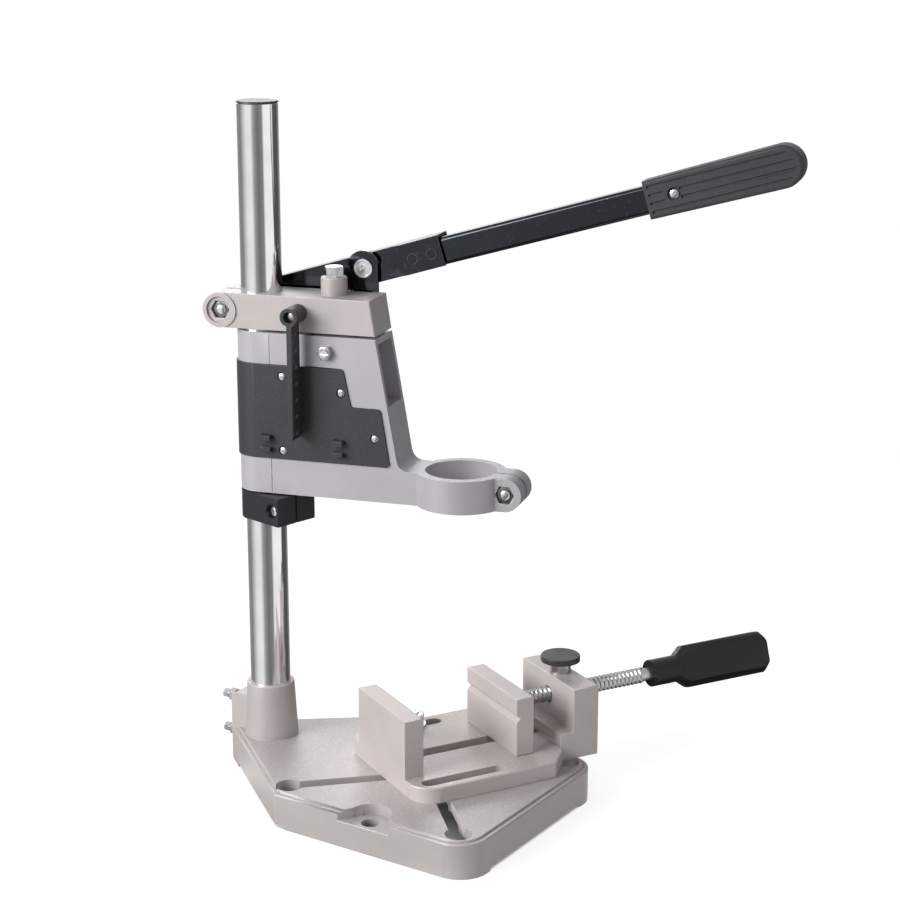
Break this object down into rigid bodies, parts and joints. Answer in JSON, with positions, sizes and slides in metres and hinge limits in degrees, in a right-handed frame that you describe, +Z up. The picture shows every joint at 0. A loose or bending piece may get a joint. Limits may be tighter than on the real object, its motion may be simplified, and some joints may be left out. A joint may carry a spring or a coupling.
{
  "type": "drill stand",
  "caption": "Bench drill stand with a column, hand lever, sprung carriage with a clamping collar, depth scale and a small machine vise.",
  "frame": {"origin": "on the table plane under the column axis", "axes": "+X from the column to the front of the base, +Y to the side away from the depth scale, +Z up along the column"},
  "size_m": [0.3374, 0.3015, 0.4176],
  "materials": {
    "cast_silver": "satin",
    "cast_grey": "satin",
    "base_grey": "satin",
    "vise_paint": "satin",
    "steel": "satin",
    "zinc": "polished",
    "chrome": "polished",
    "dark_chrome": "polished",
    "black_plastic": "matte",
    "black_cast": "matte",
    "bronze": "satin"
  },
  "bodies": {
    "base": {"base_casting": "base_grey", "column_set_bolts": "zinc", "column_set_nuts": "zinc", "vise_bolt": "zinc", "vise_washer": "zinc", "vise_nut": "zinc"},
    "column": {"column_tube": "chrome", "column_cap": "black_plastic"},
    "head": {"head_block": "cast_grey", "head_clamp_bolt": "zinc", "head_clamp_nut": "zinc", "head_clamp_washer": "zinc", "lever_bush": "bronze", "guide_rod": "steel", "guide_rod_bolt": "zinc", "depth_scale": "black_plastic", "depth_scale_screw": "zinc", "spring_pin_upper": "zinc", "return_spring": "steel"},
    "carriage": {"carriage_casting": "cast_silver", "column_bushes": "bronze", "side_cover": "black_plastic", "cover_screws": "zinc", "collar_clamp_bolt": "zinc", "collar_clamp_nut": "zinc", "gib_screw": "zinc", "gib_nut": "zinc", "lever_bracket": "dark_chrome", "bracket_screws": "zinc", "lever_pin_bolt": "zinc", "lever_pin_nut": "zinc", "lever_pin_bush": "zinc", "spring_pin_lower": "zinc"},
    "stop_ring": {"stop_ring": "black_cast", "stop_ring_screw": "zinc", "stop_ring_nut": "zinc"},
    "lever": {"lever_channel": "dark_chrome", "lever_bar": "dark_chrome", "lever_rivets": "zinc", "lever_grip": "black_plastic", "grip_screw": "zinc"},
    "vise": {"vise_body": "vise_paint", "release_spring": "steel"},
    "jaw": {"moving_jaw": "vise_paint", "jaw_keeper": "zinc", "keeper_screw": "zinc", "screw_retainer": "zinc", "retainer_screws": "zinc"},
    "screw": {"lead_screw": "steel", "vise_handle": "black_plastic", "handle_pin": "zinc"},
    "release": {"release_plunger": "zinc", "release_knob": "black_plastic"}
  },
  "joints": [
    {"name": "column_turn", "type": "hinge", "parent": "base", "child": "column", "pos_m": [0, 0, 0.0144], "axis": [0, 0, 1], "range_deg": [-180, 180]},
    {"name": "head_slide", "type": "slide", "parent": "column", "child": "head", "axis": [0, 0, 1], "range_m": [-0.025, 0.095]},
    {"name": "feed", "type": "slide", "parent": "head", "child": "carriage", "axis": [0, 0, -1], "range_m": [0, 0.06], "stiffness_N_per_m": 350, "springref_m": -0.09, "deforming": ["return_spring"]},
    {"name": "ring_turn", "type": "hinge", "parent": "carriage", "child": "stop_ring", "pos_m": [0, 0, 0.1744], "axis": [0, 0, 1], "range_deg": [-180, 180]},
    {"name": "lever_turn", "type": "hinge", "parent": "head", "child": "lever", "pos_m": [-0.0269, 0.0181, 0.2947], "axis": [-0.2706, 0.9627, 0], "range_deg": [0, 41]},
    {"name": "vise_turn", "type": "hinge", "parent": "base", "child": "vise", "pos_m": [0.08255, 0.03745, 0.0225], "axis": [0, 0, 1], "range_deg": [-12, 10]},
    {"name": "jaw_slide", "type": "slide", "parent": "vise", "child": "jaw", "axis": [0.4848, 0.8746, 0], "range_m": [-0.053, 0.017]},
    {"name": "screw_turn", "type": "hinge", "parent": "jaw", "child": "screw", "pos_m": [0.14059, 0.05718, 0.054], "axis": [0.4848, 0.8746, 0], "range_deg": [-6362, 2042]},
    {"name": "release_press", "type": "slide", "parent": "vise", "child": "release", "axis": [0, 0, -1], "range_m": [0, 0.004], "stiffness_N_per_m": 1500, "springref_m": -0.003, "deforming": ["release_spring"]}
  ],
  "couplings": [
    {"joint": "lever_turn", "follows": "feed", "rad_per_m": 11.87},
    {"joint": "screw_turn", "follows": "jaw_slide", "rad_per_m": 2094.4}
  ]
}
